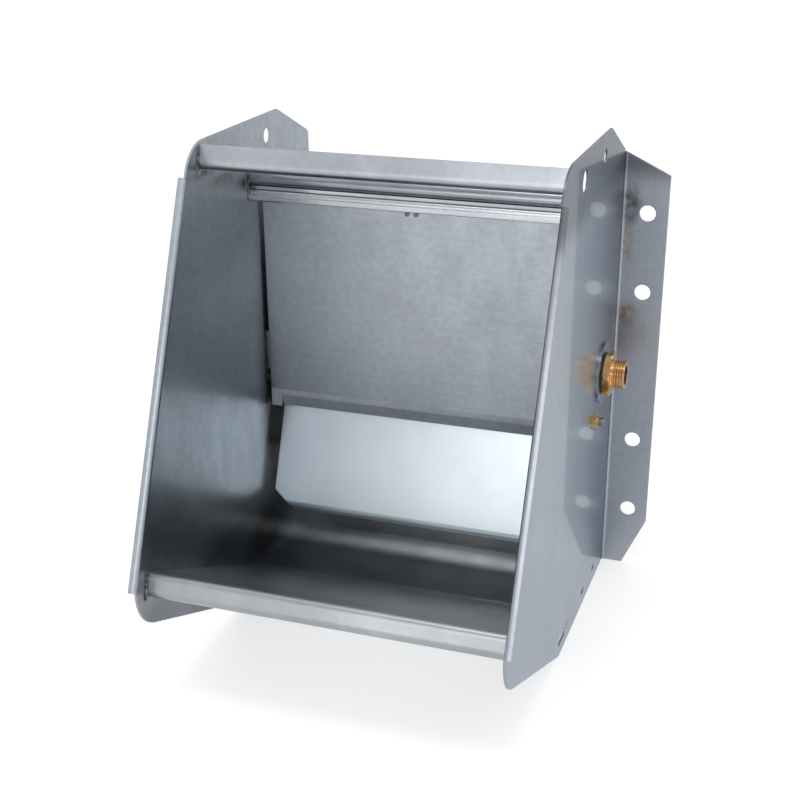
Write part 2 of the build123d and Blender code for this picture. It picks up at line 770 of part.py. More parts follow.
def valve_seat_ring():
    """Raised seat on the chamber floor."""
    floor_z = chamber_bottom_z + chamber_floor_t
    return ring_z(seat_ring_d, seat_bore_d, floor_z, seat_z, valve_x, inlet_y)


def stem_guide():
    """Spider in the seat bore that guides the stem."""
    z0 = chamber_bottom_z
    z1 = z0 + guide_t
    hub = rod_z(guide_hub_d, z0, z1, valve_x, inlet_y)
    web = Box(seat_bore_d / 2, guide_web, guide_t, align=(Align.MIN, Align.CENTER, Align.MIN))
    for i in range(guide_webs):
        hub = hub + Pos(valve_x, inlet_y, z0) * Rot(0, 0, 360 * i / guide_webs) * web
    guide = hub & rod_z(seat_bore_d, z0, z1, valve_x, inlet_y)
    return guide - rod_z(stem_d + 2 * stem_fit, z0, z1, valve_x, inlet_y)


def valve_stem():
    """Stem with the disc that carries the seal."""
    disc_z = seat_z + seal_t
    top_z = disc_z + disc_t + stem_above_disc
    stem = rod_z(stem_d, screw_tip_z + stem_play, top_z, valve_x, inlet_y)
    return stem + rod_z(disc_d, disc_z, disc_z + disc_t, valve_x, inlet_y)


def valve_seal():
    """Rubber washer under the disc."""
    return ring_z(disc_d, stem_d, seat_z, seat_z + seal_t, valve_x, inlet_y)


def valve_spring():
    """Spring that closes the valve, between the disc and the cap's pocket."""
    foot_z = seat_z + seal_t + disc_t + spring_wire_d / 2
    head_z = chamber_top_z - cap_plug_t + cap_pocket_depth + cap_seal_t - spring_wire_d / 2
    height = head_z - foot_z
    coil = Helix(pitch=height / spring_turns, height=height, radius=spring_mean_d / 2)
    section = Plane(origin=coil @ 0, z_dir=coil % 0) * Circle(spring_wire_d / 2)
    return Pos(valve_x, inlet_y, foot_z) * sweep(section, path=coil)


def valve_cap():
    """Screwed cap of the chamber, with a pocket for the spring."""
    seat = chamber_top_z + cap_seal_t
    plug_foot = seat - cap_plug_t
    cap = hex_z(cap_af, seat, seat + cap_t, valve_x, inlet_y)
    cap = cap + rod_z(chamber_bore_d - 2 * cap_fit, plug_foot, seat, valve_x, inlet_y)
    return cap - rod_z(cap_pocket_d, plug_foot, plug_foot + cap_pocket_depth, valve_x, inlet_y)


def cap_seal():
    """Ring between chamber and cap."""
    top = chamber_top_z + cap_seal_t
    return ring_z(cap_af, chamber_bore_d, chamber_top_z, top, valve_x, inlet_y)


def outlet_nozzle():
    """Skirt that keeps the water jet together under the chamber."""
    foot = chamber_bottom_z - nozzle_t
    return ring_z(nozzle_d, nozzle_bore_d, foot, chamber_bottom_z, valve_x, inlet_y)


SUB_PARTS = (
    right_side_wall,
    left_side_wall,
    trough,
    top_front_bar,
    cross_tube,
    cover_head_rail,
    cover_hinge_lugs,
    cover_hinge_rod,
    valve_cover,
    cover_friction_leaf,
    cover_rivets,
    cover_stops,
    push_plate,
    plate_hinge_sleeve,
    plate_hinge_rod,
    hinge_nuts,
    hinge_bushes,
    valve_lever,
    lever_screw,
    lever_locknut,
    valve_body,
    inlet_backnut,
    inlet_washer,
    inlet_outer_seal,
    inlet_gasket,
    inlet_strainer,
    valve_seat_ring,
    stem_guide,
    valve_stem,
    valve_seal,
    valve_spring,
    valve_cap,
    cap_seal,
    outlet_nozzle,
)


def main():
    """Build every sub-part and write it with the origin under the middle of the bowl."""
    shapes = {make.__name__: make() for make in SUB_PARTS}
    front_y = min(shape.bounding_box().min.Y for shape in shapes.values())
    os.makedirs("parts", exist_ok=True)
    for name, shape in shapes.items():
        export_step(Pos(0, -front_y / 2, 0) * shape, f"parts/{name}.step")


if __name__ == "__main__":
    main()
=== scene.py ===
"""Looks of a wall-mounted stainless steel drinking bowl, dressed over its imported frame."""

import logging
import math
from dataclasses import dataclass
from enum import Enum
from typing import Optional

import bmesh
import bpy
from mathutils import Matrix, Vector


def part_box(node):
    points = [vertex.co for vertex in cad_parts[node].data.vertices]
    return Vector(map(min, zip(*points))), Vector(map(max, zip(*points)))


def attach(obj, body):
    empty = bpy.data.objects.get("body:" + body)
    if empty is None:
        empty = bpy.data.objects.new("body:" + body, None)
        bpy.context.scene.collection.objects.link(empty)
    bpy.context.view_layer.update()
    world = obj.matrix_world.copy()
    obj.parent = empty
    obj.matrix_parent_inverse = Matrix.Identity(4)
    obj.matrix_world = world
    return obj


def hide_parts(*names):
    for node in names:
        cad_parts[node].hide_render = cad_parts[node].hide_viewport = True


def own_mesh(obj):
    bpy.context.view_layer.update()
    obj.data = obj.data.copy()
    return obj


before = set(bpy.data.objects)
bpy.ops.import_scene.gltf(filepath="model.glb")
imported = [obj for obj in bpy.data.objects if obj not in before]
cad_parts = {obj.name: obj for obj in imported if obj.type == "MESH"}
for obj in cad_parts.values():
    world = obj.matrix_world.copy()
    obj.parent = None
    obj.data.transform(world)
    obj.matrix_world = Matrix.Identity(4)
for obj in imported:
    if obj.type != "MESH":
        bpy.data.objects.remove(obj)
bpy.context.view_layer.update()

LOG = logging.getLogger("drinking_bowl")

Colour = tuple[float, float, float]
Point = tuple[float, float, float]
Socket = bpy.types.NodeSocket
Band = tuple[float, float]

# Stretches of a noise's range over which a pattern fades in.
MIDDLE: Band = (0.3, 0.7)
CLOUD_BAND: Band = (0.32, 0.68)
GRAIN_BAND: Band = (0.35, 0.75)
MOTTLE_BAND: Band = (0.35, 0.65)
RAGGED_BAND: Band = (0.3, 0.65)
PATCH_BAND: Band = (0.38, 0.66)
SKIN_BAND: Band = (0.35, 0.7)
# Cosine between the flat and the softened normal, on an edge and off it.
EDGE_BAND: Band = (0.80, 0.995)
BEVEL_SAMPLES = 4


class Along(Enum):
    """Axis of the frame, such as the one that a sheet was brushed along."""

    X = 0
    Y = 1
    Z = 2


class Graph:
    """Node tree of one material, with short ways to add and join nodes."""

    def __init__(self, name: str) -> None:
        """Start a material.

        Args:
            name: Name of the material.
        """
        self.material = bpy.data.materials.new(name)
        self.material.use_nodes = True
        self.tree = self.material.node_tree
        self.shader = self.tree.nodes["Principled BSDF"]

    def add(self, kind: str, **settings: object) -> bpy.types.Node:
        """Add a node.

        Args:
            kind: Blender's name of the node type.
            settings: Properties of the node.

        Returns:
            The new node.
        """
        node = self.tree.nodes.new(kind)
        for key, value in settings.items():
            setattr(node, key, value)
        return node

    def join(self, source: Socket, target: Socket) -> None:
        """Link two sockets."""
        self.tree.links.new(source, target)

    def place(self, value: object, socket: Socket) -> None:
        """Link a socket to another, or set it to a plain value."""
        if isinstance(value, Socket):
            self.join(value, socket)
        else:
            socket.default_value = value

    def set(self, **values: float | Colour) -> None:
        """Set plain values on the shader; an underscore stands for a space in a socket's name."""
        for key, value in values.items():
            plain = (*value, 1.0) if isinstance(value, tuple) else value
            self.shader.inputs[key.replace("_", " ")].default_value = plain

    def math(self, operation: str, first: object, second: object = 0.0, clamp: bool = False) -> Socket:
        """Add one step of arithmetic.

        Args:
            operation: Blender's name of the operation.
            first: First operand, a socket or a number.
            second: Second operand, a socket or a number.
            clamp: Keep the result between 0 and 1.

        Returns:
            The result.
        """
        node = self.add("ShaderNodeMath", operation=operation, use_clamp=clamp)
        self.place(first, node.inputs[0])
        self.place(second, node.inputs[1])
        return node.outputs[0]

    def spread(self, value: Socket, low: float, high: float, to_low: float, to_high: float) -> Socket:
        """Map a range of values smoothly onto another.

        Args:
            value: Value to map.
            low: Start of its range.
            high: End of its range.
            to_low: Result at the start.
            to_high: Result at the end.

        Returns:
            The mapped value.
        """
        node = self.add("ShaderNodeMapRange", interpolation_type="SMOOTHSTEP")
        for socket, number in zip(list(node.inputs)[1:5], (low, high, to_low, to_high)):
            socket.default_value = number
        self.join(value, node.inputs[0])
        return node.outputs[0]

    def blend(self, share: object, first: object, second: object) -> Socket:
        """Mix two colours.

        Args:
            share: Share of the second colour.
            first: First colour, a socket or a plain colour.
            second: Second colour, a socket or a plain colour.

        Returns:
            The mixed colour.
        """
        node = self.add("ShaderNodeMix", data_type="RGBA")
        self.place(share, node.inputs["Factor"])
        for value, socket in ((first, node.inputs[6]), (second, node.inputs[7])):
            self.place((*value, 1.0) if isinstance(value, tuple) else value, socket)
        return node.outputs[2]

    def scale(self, colour: Socket, factor: Socket) -> Socket:
        """Make a colour darker or lighter by a factor."""
        node = self.add("ShaderNodeVectorMath", operation="SCALE")
        self.join(colour, node.inputs[0])
        self.join(factor, node.inputs["Scale"])
        return node.outputs["Vector"]

    def noise(self, scale: Point, detail: float = 3.0, shift: float = 0.0) -> Socket:
        """Add noise laid out in the frame's own coordinates.

        Args:
            scale: Cells per metre along X, Y and Z.
            detail: Octaves of the noise.
            shift: Offset that makes two noises differ.

        Returns:
            The noise, from 0 to 1.
        """
        place = self.add("ShaderNodeTexCoord")
        mapping = self.add("ShaderNodeMapping")
        mapping.inputs["Scale"].default_value = scale
        mapping.inputs["Location"].default_value = (shift, shift * 1.7, shift * 0.6)
        noise = self.add("ShaderNodeTexNoise")
        noise.inputs["Scale"].default_value = 1.0
        noise.inputs["Detail"].default_value = detail
        self.join(place.outputs["Object"], mapping.inputs["Vector"])
        self.join(mapping.outputs["Vector"], noise.inputs["Vector"])
        return noise.outputs["Fac"]

    def distance(self, centre: Point, squeeze: Point) -> Socket:
        """Distance in metres from a place in the frame.

        Args:
            centre: The place.
            squeeze: Factor on each axis; a large one makes the distance grow faster along it.

        Returns:
            The distance.
        """
        place = self.add("ShaderNodeTexCoord")
        scaled = self.add("ShaderNodeVectorMath", operation="MULTIPLY")
        self.join(place.outputs["Object"], scaled.inputs[0])
        scaled.inputs[1].default_value = squeeze
        node = self.add("ShaderNodeVectorMath", operation="DISTANCE")
        self.join(scaled.outputs["Vector"], node.inputs[0])
        node.inputs[1].default_value = tuple(c * k for c, k in zip(centre, squeeze))
        return node.outputs["Value"]

    def position(self, axis: Along) -> Socket:
        """Coordinate along one axis of the frame."""
        place = self.add("ShaderNodeTexCoord")
        parts = self.add("ShaderNodeSeparateXYZ")
        self.join(place.outputs["Object"], parts.inputs[0])
        return parts.outputs[axis.value]

    def edges(self, radius: float) -> tuple[Socket, Socket]:
        """Soften the edges of a solid.

        Args:
            radius: Radius of the softened edge in metres.

        Returns:
            The softened normal, and a mask that is 1 on an edge.
        """
        bevel = self.add("ShaderNodeBevel", samples=BEVEL_SAMPLES)
        bevel.inputs["Radius"].default_value = radius
        flat = self.add("ShaderNodeNewGeometry")
        dot = self.add("ShaderNodeVectorMath", operation="DOT_PRODUCT")
        self.join(bevel.outputs["Normal"], dot.inputs[0])
        self.join(flat.outputs["Normal"], dot.inputs[1])
        return bevel.outputs["Normal"], self.spread(dot.outputs["Value"], *EDGE_BAND, 1.0, 0.0)

    def bump(
        self, height: Socket, strength: float, depth: float, normal: Optional[Socket] = None
    ) -> Socket:
        """Raise the surface by a height.

        Args:
            height: Height, from 0 to 1.
            strength: Share of the effect that is used.
            depth: Height in metres of a value of 1.
            normal: Normal to start from.

        Returns:
            The new normal.
        """
        node = self.add("ShaderNodeBump")
        node.inputs["Strength"].default_value = strength
        node.inputs["Distance"].default_value = depth
        self.join(height, node.inputs["Height"])
        if normal is not None:
            self.join(normal, node.inputs["Normal"])
        return node.outputs["Normal"]


@dataclass(frozen=True)
class StainOrShade:
    """Discoloured place on a sheet, such as the tint that a weld leaves round itself, or a patch of
    painted shade.
    """

    centre: Point
    radius: float
    strength: float = 0.6
    squeeze: Point = (1.0, 1.0, 1.0)
    colour: Colour = (0.20, 0.115, 0.055)
    ragged: float = 0.8


@dataclass(frozen=True)
class Zone:
    """Stretch of a sheet, along one axis, that is rougher, and that painted shade or painted light
    makes darker or lighter than the rest.
    """

    axis: Along
    start: float
    end: float
    roughness: float
    shade: float = 1.0


@dataclass(frozen=True)
class SheetSteel:
    """Cold-rolled stainless sheet: hazy, with a faint sharp image, grain, clouding and rubbed edges;
    its stains may include painted shade, and its zones painted shade or painted light.

    The denoiser speckles a wide sheet where its roughness crosses 0.274, so theirs stays above that.
    """

    name: str
    tint: Colour
    roughness: float
    along: Along
    clouding: float = 0.10
    grain: float = 0.05
    mottling: float = 0.0
    mirror: float = 0.0
    graze: Colour = (1.0, 1.0, 1.0)
    smear: float = 0.04
    stains_and_shade: tuple[StainOrShade, ...] = ()
    zones: tuple[Zone, ...] = ()
    edge_radius: float = 0.0010
    fine: float = 1500.0
    coarse: float = 18.0
    cloud_cells: Point = (16.0, 14.0, 12.0)
    smear_cells: Point = (55.0, 48.0, 30.0)
    mottle_cells: float = 210.0
    ragged_cells: float = 160.0
    streak_share: float = 0.35
    grain_depth: float = 0.00006
    worn_gain: float = 1.25
    worn_share: float = 0.5
    coat_roughness: float = 0.05

    def stained_and_shaded(self, graph: Graph, colour: Socket) -> Socket:
        """Lay the stains and the patches of painted shade over a colour.

        Args:
            graph: Node tree to add to.
            colour: Colour of the clean sheet.

        Returns:
            The colour with its stains and painted shade.
        """
        # Each patch is a real stain or painted shade, blended over the colour.
        for stain_or_shade in self.stains_and_shade:
            away = graph.distance(stain_or_shade.centre, stain_or_shade.squeeze)
            patch = graph.spread(away, 0.0, stain_or_shade.radius, 1.0, 0.0)
            shift = stain_or_shade.centre[2] * 40.0  # so that no two stains share one outline
            noise = graph.noise((self.ragged_cells,) * 3, detail=4.0, shift=shift)
            ragged = graph.spread(noise, *RAGGED_BAND, 1.0 - stain_or_shade.ragged, 1.0)
            share = graph.math("MULTIPLY", patch, ragged)
            share = graph.math("MULTIPLY", share, stain_or_shade.strength, clamp=True)
            colour = graph.blend(share, colour, stain_or_shade.colour)
        return colour

    def material(self) -> bpy.types.Material:
        """Build the material of this sheet."""
        graph = Graph(self.name)
        scale = [self.fine] * 3
        scale[self.along.value] = self.coarse
        grain = graph.noise(tuple(scale), detail=2.0)
        cloud = graph.noise(self.cloud_cells, detail=4.0, shift=3.1)
        smear = graph.noise(self.smear_cells, detail=3.0, shift=7.7)
        mottle = graph.noise((self.mottle_cells,) * 3, detail=3.0, shift=1.3)
        dark = tuple(c * (1.0 - self.clouding) for c in self.tint)
        light = tuple(min(1.0, c * (1.0 + self.clouding)) for c in self.tint)
        colour = graph.blend(graph.spread(cloud, *CLOUD_BAND, 0.0, 1.0), dark, light)
        streak = tuple(c * (1.0 - self.grain * 2.0) for c in self.tint)
        colour = graph.blend(graph.spread(grain, *GRAIN_BAND, 0.0, self.streak_share), colour, streak)
        spots = graph.spread(mottle, *MOTTLE_BAND, 1.0 - self.mottling, 1.0 + self.mottling)
        colour = self.stained_and_shaded(graph, graph.scale(colour, spots))
        uneven = graph.spread(smear, *MIDDLE, -self.smear, self.smear)
        rough = graph.math("ADD", uneven, self.roughness)
        for zone in self.zones:
            inside = graph.spread(graph.position(zone.axis), zone.start, zone.end, 0.0, 1.0)
            rough = graph.math("ADD", rough, graph.math("MULTIPLY", inside, zone.roughness))
            # The zone's shade scales the colour: painted shade below 1, painted light above 1.
            colour = graph.scale(colour, graph.spread(inside, 0.0, 1.0, 1.0, zone.shade))
        normal, edge = graph.edges(self.edge_radius)
        worn = tuple(min(1.0, c * self.worn_gain) for c in self.tint)
        colour = graph.blend(graph.math("MULTIPLY", edge, self.worn_share), colour, worn)
        graph.join(colour, graph.shader.inputs["Base Color"])
        brushed = graph.spread(grain, *MIDDLE, -0.5 * self.grain, 0.5 * self.grain)
        rough = graph.math("ADD", rough, brushed, clamp=True)
        graph.join(rough, graph.shader.inputs["Roughness"])
        brushed_normal = graph.bump(grain, self.grain, self.grain_depth, normal)
        graph.join(brushed_normal, graph.shader.inputs["Normal"])
        graph.set(
            Metallic=1.0,
            Specular_Tint=self.graze,
            Coat_Weight=self.mirror,
            Coat_Roughness=self.coat_roughness,
        )
        return graph.material


@dataclass(frozen=True)
class TurnedMetal:
    """Turned or drawn metal with fine tool marks and dulled patches."""

    name: str
    bright: Colour
    dull: Colour
    roughness: float
    mark: Point = (1800.0, 140.0, 140.0)
    patch: float = 110.0
    edge_radius: float = 0.00025
    edge_share: float = 0.6
    mark_strength: float = 0.12
    mark_depth: float = 0.00005

    def material(self) -> bpy.types.Material:
        """Build the material of this metal."""
        graph = Graph(self.name)
        marks = graph.noise(self.mark, detail=2.0)
        patch = graph.noise((self.patch,) * 3, detail=4.0, shift=5.3)
        colour = graph.blend(graph.spread(patch, *PATCH_BAND, 0.0, 1.0), self.bright, self.dull)
        normal, edge = graph.edges(self.edge_radius)
        colour = graph.blend(graph.math("MULTIPLY", edge, self.edge_share), colour, self.bright)
        graph.join(colour, graph.shader.inputs["Base Color"])
        dulling = graph.spread(patch, *MIDDLE, -0.06, 0.12)
        rough = graph.math("ADD", dulling, self.roughness, clamp=True)
        graph.join(rough, graph.shader.inputs["Roughness"])
        marked = graph.bump(marks, self.mark_strength, self.mark_depth, normal)
        graph.join(marked, graph.shader.inputs["Normal"])
        graph.set(Metallic=1.0)
        return graph.material


@dataclass(frozen=True)
class Moulded:
    """Moulded rubber or plastic with a fine pebbled skin."""

    name: str
    tint: Colour
    roughness: float
    pebble: float = 900.0
    pebble_strength: float = 0.25
    pebble_depth: float = 0.00008
    patch_cells: float = 90.0

    def material(self) -> bpy.types.Material:
        """Build the material of this moulding."""
        graph = Graph(self.name)
        skin = graph.noise((self.pebble,) * 3)
        patch = graph.noise((self.patch_cells,) * 3, shift=2.2)
        worn = tuple(min(1.0, c * 1.35 + 0.01) for c in self.tint)
        colour = graph.blend(graph.spread(patch, *SKIN_BAND, 0.0, 1.0), self.tint, worn)
        graph.join(colour, graph.shader.inputs["Base Color"])
        dulling = graph.spread(patch, *MIDDLE, -0.06, 0.08)
        rough = graph.math("ADD", dulling, self.roughness, clamp=True)
        graph.join(rough, graph.shader.inputs["Roughness"])
        pebbled = graph.bump(skin, self.pebble_strength, self.pebble_depth)
        graph.join(pebbled, graph.shader.inputs["Normal"])
        return graph.material


def dress(node: str, finish: bpy.types.Material) -> None:
    """Give a node of the frame its finish.

    Args:
        node: Name of the node.
        finish: Material to show.
    """
    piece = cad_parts[node]
    piece.data.materials.clear()
    piece.data.materials.append(finish)
    LOG.info("dressed %s", node)


@dataclass
class Shell:
    """Walls, trough, top bar and tube of the bowl."""

    outlet_wall: SheetSteel = SheetSteel(
        "left_wall_sheet",
        (0.335, 0.37, 0.41),
        0.34,
        Along.Z,
        smear=0.025,
        clouding=0.08,
        mottling=0.05,
        mirror=0.16,
        stains_and_shade=(
            # Brown and dark brown marks by the bar's end and between it and the tube, and heat tint
            # round the rim's weld.
            StainOrShade((-0.123, 0.004, 0.3285), 0.016, 0.8, (5.0, 0.6, 2.4)),
            # Painted shade: a near-black patch on the wall at the tube's end.
            StainOrShade((-0.123, 0.037, 0.318), 0.014, 0.95, (8.0, 0.8, 1.6), (0.03, 0.022, 0.018)),
            StainOrShade((-0.123, -0.022, 0.338), 0.016, 0.8, (5.0, 0.5, 3.0), (0.09, 0.06, 0.045)),
            StainOrShade((-0.123, -0.148, 0.086), 0.012, 0.6, (5.0, 1.0, 0.8), (0.22, 0.11, 0.10)),
            # Deep shade above the trough, at the foot and behind the plate, on the inner face only.
            StainOrShade((-0.123, -0.010, 0.042), 0.055, 1.8, (30.0, 0.36, 1.0), (0.16, 0.175, 0.195), 0.1),
            StainOrShade((-0.123, -0.128, 0.052), 0.050, 1.3, (30.0, 0.8, 1.0), (0.19, 0.205, 0.225), 0.1),
            StainOrShade((-0.123, 0.080, 0.150), 0.060, 2.2, (32.0, 1.3, 0.35), (0.02, 0.021, 0.023), 0.1),
            StainOrShade((-0.123, 0.045, 0.040), 0.045, 1.6, (24.0, 0.9, 1.3), (0.02, 0.021, 0.023), 0.1),
        ),
        zones=(Zone(Along.Z, 0.25, 0.29, 0.12),),
    )
    inlet_wall: SheetSteel = SheetSteel(
        "right_wall_sheet",
        (0.30, 0.325, 0.365),
        0.325,
        Along.Z,
        smear=0.015,
        clouding=0.05,
        mottling=0.03,
        mirror=0.33,
        graze=(0.66, 0.71, 0.77),
        stains_and_shade=(
            # Tint and smudges along the fold of the flange.
            StainOrShade((0.1288, 0.155, 0.262), 0.012, 0.85, (1.3, 3.0, 0.42), (0.24, 0.16, 0.12)),
            StainOrShade((0.131, 0.1555, 0.212), 0.014, 0.85, (1.0, 3.0, 0.8), (0.19, 0.115, 0.075)),
            StainOrShade((0.128, 0.1555, 0.180), 0.009, 0.4, (1.0, 4.0, 0.35), (0.27, 0.20, 0.17)),
            StainOrShade((0.130, 0.1555, 0.296), 0.012, 1.0, (1.0, 4.0, 0.55), (0.06, 0.05, 0.052)),
            StainOrShade((0.130, 0.1555, 0.290), 0.010, 0.9, (1.1, 4.0, 0.6), (0.06, 0.05, 0.052)),
        ),
        # Painted light makes the flange lighter; painted shade makes the top of the wall darker from
        # 0.30 m up.
        zones=(Zone(Along.Y, 0.1535, 0.1555, 0.10, 1.14), Zone(Along.Z, 0.30, 0.33, 0.08, 0.45)),
    )
    basin: SheetSteel = SheetSteel(
        "basin_sheet",
        (0.43, 0.455, 0.475),
        0.32,
        Along.X,
        smear=0.025,
        clouding=0.12,
        grain=0.01,
        mottling=0.02,
        mirror=0.1,
        # Painted shade: the rim and the front of the trough floor are darker.
        zones=(Zone(Along.Y, -0.10, -0.135, 0.0, 0.77),),
        fine=600.0,
        coarse=60.0,
    )
    bar: SheetSteel = SheetSteel(
        "bar_sheet", (0.37, 0.395, 0.43), 0.32, Along.X, mottling=0.03, smear=0.012
    )
    tube: SheetSteel = SheetSteel("tube_steel", (0.27, 0.29, 0.32), 0.24, Along.X)

    def dress(self) -> None:
        """Finish the sheets of the shell."""
        for node, finish in (
            ("right_side_wall", self.inlet_wall.material()),
            ("left_side_wall", self.outlet_wall.material()),
            ("trough", self.basin.material()),
            ("top_front_bar", self.bar.material()),
            ("cross_tube", self.tube.material()),
        ):
            dress(node, finish)


@dataclass(frozen=True)
class Seam:
    """Line that one weld bead follows, and the bead's size."""

    name: str
    line: tuple[Point, ...]
    radius: float = 0.0011
    ripple: float = 0.0016


@dataclass
class Welds:
    """Weld beads that join the walls to the sheets between them."""

    finish: TurnedMetal = TurnedMetal(
        "weld_metal", (0.20, 0.19, 0.19), (0.07, 0.058, 0.052), 0.42, (900.0, 900.0, 900.0), 400.0
    )
    corner_inset: float = 0.0003
    rings_per_ripple: int = 4
    sides: int = 10
    tube_turn_steps: int = 36
    ripple_depth: float = 0.12
    wave_depth: float = 0.10
    wave_rate: float = 0.9
    tip_share: float = 0.35
    tip_length: float = 1.5
    rail_lip: float = 0.0068
    rail_round: float = 0.0008
    rail_back: float = 0.004
    # Y and Z along the rim's end and the bar's end.
    rim: tuple[tuple[float, float], ...] = ((-0.1399, 0.0990), (-0.1449, 0.0805))
    bar: tuple[tuple[float, float], ...] = ((-0.0284, 0.3565), (-0.0333, 0.3412))
    tack_half: float = 0.007
    # Y and Z of the middle of each tack beside the trough, then its direction in Y and Z.
    tacks: tuple[tuple[float, float, float, float], ...] = (
        (0.1540, 0.262, 0.0, 1.0),
        (0.1540, 0.196, 0.0, 1.0),
        (0.1540, 0.130, 0.0, 1.0),
        (0.1196, 0.0406, 0.793, 0.609),
        (0.0518, 0.0144, 1.0, 0.0),
        (-0.0203, 0.0399, -0.898, 0.440),
        (-0.0632, 0.0609, -0.898, 0.440),
        (-0.1061, 0.0819, -0.898, 0.440),
    )

    def tube_ring(self, x: float) -> tuple[Point, ...]:
        """Closed line round the end of the cross tube, at one X."""
        low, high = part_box("cross_tube")
        middle = (low + high) / 2
        radius = (high.z - low.z) / 2 + self.corner_inset
        points = []
        for i in range(self.tube_turn_steps + 1):
            turn = 2 * math.pi * i / self.tube_turn_steps
            points.append((x, middle.y + radius * math.cos(turn), middle.z + radius * math.sin(turn)))
        return tuple(points)

    def rail_edge(self, x: float) -> tuple[Point, ...]:
        """Line up the front of the head rail and back along its top, at one X."""
        low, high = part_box("cover_head_rail")
        front, top = low.y - self.corner_inset, high.z + self.corner_inset
        foot = high.z - self.rail_lip
        return ((x, front, foot), (x, front + self.rail_round, top), (x, high.y - self.rail_back, top))

    def seams(self) -> list[Seam]:
        """All the beads, on both walls.

        Returns:
            The seams in the order in which they are built.
        """
        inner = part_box("trough")[1].x - self.corner_inset
        seams = []
        for side, x in (("right", inner), ("left", -inner)):
            seams.append(Seam(f"weld_rim_{side}", tuple((x, y, z) for y, z in self.rim)))
            seams.append(Seam(f"weld_bar_{side}", tuple((x, y, z) for y, z in self.bar), 0.0009))
            seams.append(Seam(f"weld_tube_{side}", self.tube_ring(x), 0.0010))
            seams.append(Seam(f"weld_rail_{side}", self.rail_edge(x), 0.0008))
            for i, (y, z, along_y, along_z) in enumerate(self.tacks):
                reach_y, reach_z = along_y * self.tack_half, along_z * self.tack_half
                line = ((x, y - reach_y, z - reach_z), (x, y + reach_y, z + reach_z))
                seams.append(Seam(f"weld_trough_{side}_{i + 1}", line, 0.0016, 0.0022))
        return seams

    def stations(self, seam: Seam) -> list[tuple[Vector, Vector, float]]:
        """Places along a bead where its rings stand.

        Args:
            seam: The bead.

        Returns:
            Centre, direction and distance from the start, in order.
        """
        step = seam.ripple / self.rings_per_ripple
        found = []
        done = 0.0
        for first, last in zip(seam.line, seam.line[1:]):
            start, run = Vector(first), Vector(last) - Vector(first)
            count = max(1, round(run.length / step))
            found += [(start + run * (i / count), run.normalized(), done + run.length * i / count)
                      for i in range(count)]
            done += run.length
        return found + [(Vector(seam.line[-1]), run.normalized(), done)]

    def bead(self, seam: Seam, finish: bpy.types.Material) -> None:
        """Build one rippled bead and let it ride on the bowl.

        Args:
            seam: The bead.
            finish: Its material.
        """
        stations = self.stations(seam)
        total = stations[-1][2]
        build = bmesh.new()
        rings = []
        for centre, ahead, done in stations:
            ripple = abs(math.sin(math.pi * done / seam.ripple))
            swell = 1.0 - self.ripple_depth * (1.0 - ripple)
            wave = math.sin(done / seam.radius * self.wave_rate + len(seam.name))
            uneven = 1.0 + self.wave_depth * wave
            to_tip = min(done, total - done) / (self.tip_length * seam.radius)
            end = min(1.0, self.tip_share + to_tip)
            radius = seam.radius * swell * uneven * end
            side = Vector((1.0, 0.0, 0.0))
            up = ahead.cross(side)
            ring = []
            for i in range(self.sides):
                turn = 2 * math.pi * i / self.sides
                outward = math.cos(turn) * side + math.sin(turn) * up
                ring.append(build.verts.new(centre + radius * outward))
            rings.append(ring)
        for ring, following in zip(rings, rings[1:]):
            for i in range(self.sides):
                j = (i + 1) % self.sides
                build.faces.new((ring[i], ring[j], following[j], following[i]))
        build.faces.new(rings[0])
        build.faces.new(rings[-1][::-1])
        bmesh.ops.recalc_face_normals(build, faces=build.faces)
        mesh = bpy.data.meshes.new(seam.name)
        build.to_mesh(mesh)
        build.free()
        mesh.shade_smooth()
        mesh.materials.append(finish)
        bead = bpy.data.objects.new(seam.name, mesh)
        bpy.context.scene.collection.objects.link(bead)
        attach(bead, "bowl")
        LOG.info("weld %s", seam.name)

    def dress(self) -> None:
        """Build and finish every bead."""
        finish = self.finish.material()
        for seam in self.seams():
            self.bead(seam, finish)


@dataclass
class HangingCover:
    """Rail, hinge and hanging cover in front of the valve."""

    face: SheetSteel = SheetSteel(
        "cover_sheet",
        (0.325, 0.35, 0.385),
        0.40,
        Along.X,
        clouding=0.07,
        mottling=0.04,
        # Painted light: the down-facing hem at the cover's bottom, which lies in shade, is made
        # lighter and rougher.
        zones=(Zone(Along.Z, 0.1556, 0.1544, 0.35, 1.35),),
    )
    rail: SheetSteel = SheetSteel("rail_sheet", (0.42, 0.44, 0.465), 0.26, Along.X)
    hinge: TurnedMetal = TurnedMetal("cover_hinge_steel", (0.48, 0.49, 0.51), (0.34, 0.35, 0.37), 0.28)
    rivet: TurnedMetal = TurnedMetal(
        "rivet_steel", (0.13, 0.135, 0.145), (0.06, 0.06, 0.065), 0.45, (700.0, 700.0, 700.0)
    )
    leaf: SheetSteel = SheetSteel("leaf_steel", (0.36, 0.37, 0.39), 0.25, Along.Z)

    def dress(self) -> None:
        """Finish the rail, the hinge and the cover."""
        hinge = self.hinge.material()
        for node, finish in (
            ("valve_cover", self.face.material()),
            ("cover_head_rail", self.rail.material()),
            ("cover_friction_leaf", self.leaf.material()),
            ("cover_hinge_lugs", hinge),
            ("cover_hinge_rod", hinge),
            ("cover_rivets", self.rivet.material()),
            ("cover_stops", hinge),
        ):
            dress(node, finish)


